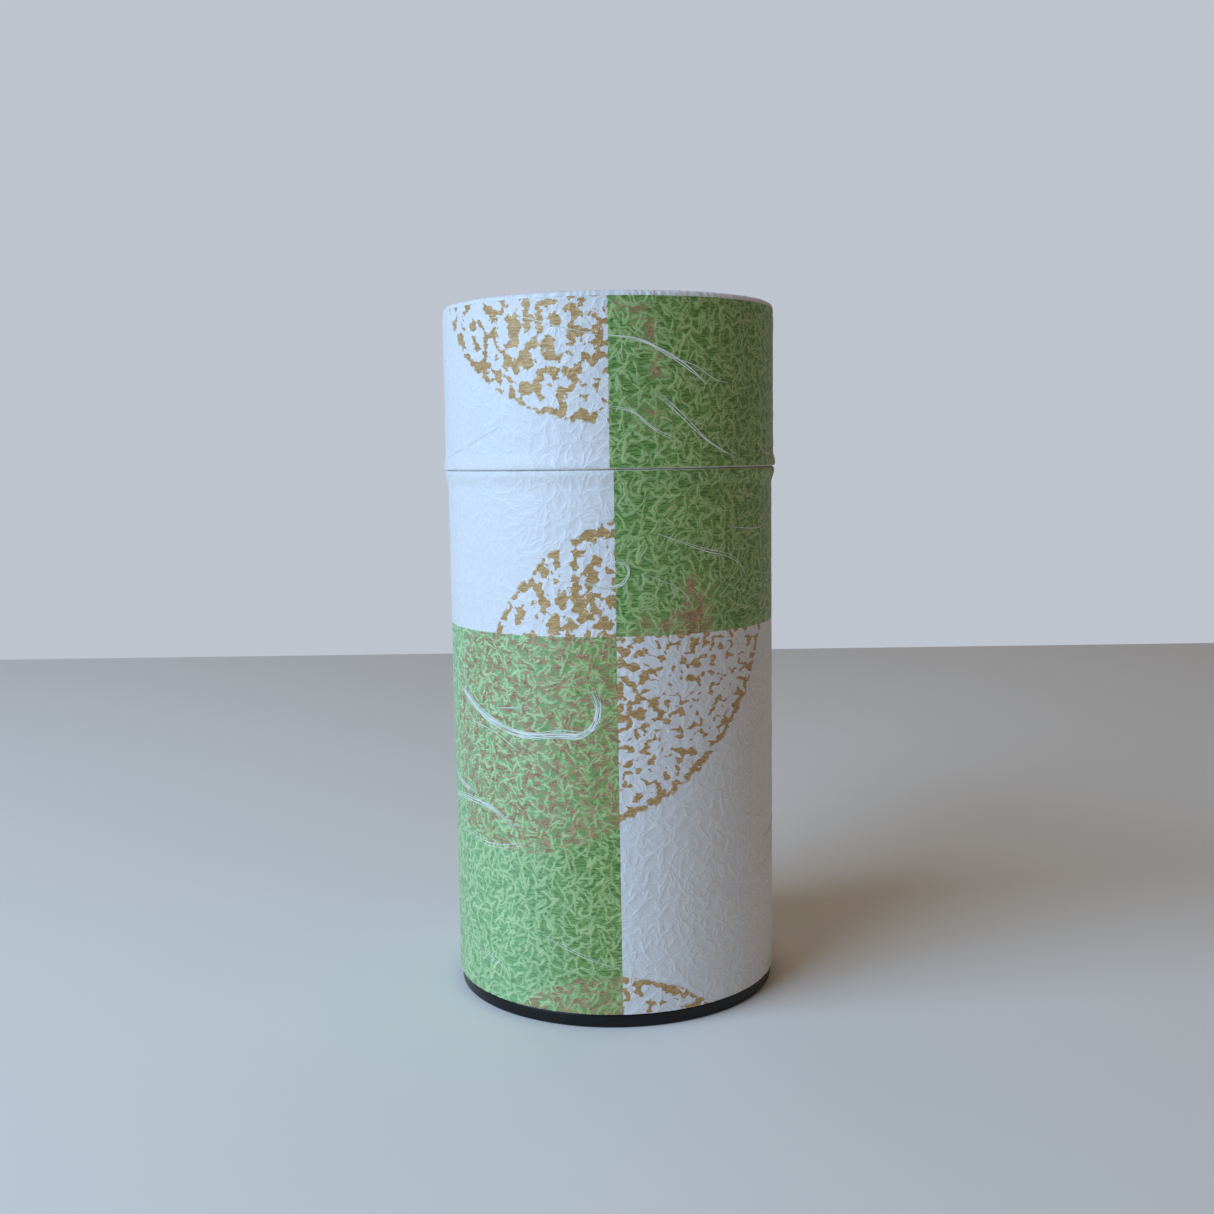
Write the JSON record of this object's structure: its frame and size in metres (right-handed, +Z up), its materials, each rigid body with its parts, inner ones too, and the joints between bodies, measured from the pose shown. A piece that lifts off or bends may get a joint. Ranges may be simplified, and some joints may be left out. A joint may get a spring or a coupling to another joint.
{
  "type": "tea caddy",
  "caption": "Cylindrical tinplate tea caddy covered in check-patterned washi paper, with a slip-over cap, a knobbed plug lid inside and a double-seamed base.",
  "frame": {"origin": "on the caddy's axis, at the height of the table it stands on", "axes": "+Z up along the caddy's axis, +Y to the back, where the paper wraps lap over themselves, and +X to the right as seen from the front"},
  "size_m": [0.0768, 0.077, 0.1572],
  "materials": {
    "tinplate": "bright rolled tinplate",
    "black_lacquered_tinplate": "satin black lacquer on tinplate",
    "sealing_compound": "dull",
    "printed_washi": "embossed matt paper, green and white check with gold clouds",
    "white_washi": "embossed matt paper",
    "turned_aluminium": "turned, satin",
    "rivet_steel": "zinc plated"
  },
  "bodies": {
    "canister": {"inner_can_wall": "tinplate", "base_end": "black_lacquered_tinplate", "seam_compound": "sealing_compound", "outer_sleeve": "tinplate", "body_washi": "printed_washi"},
    "plug_lid": {"inner_lid_plate": "tinplate", "inner_lid_knob": "turned_aluminium", "knob_rivet": "rivet_steel", "knob_washer": "rivet_steel"},
    "cap": {"cap_shell": "tinplate", "cap_top_plate": "tinplate", "cap_washi": "printed_washi", "cap_top_washi": "white_washi"}
  },
  "joints": [
    {"name": "plug_lid_lift", "type": "slide", "parent": "canister", "child": "plug_lid", "axis": [0, 0, 1], "range_m": [0, 0.03]},
    {"name": "cap_lift", "type": "slide", "parent": "plug_lid", "child": "cap", "axis": [0, 0, 1], "range_m": [0, 0.055]}
  ]
}
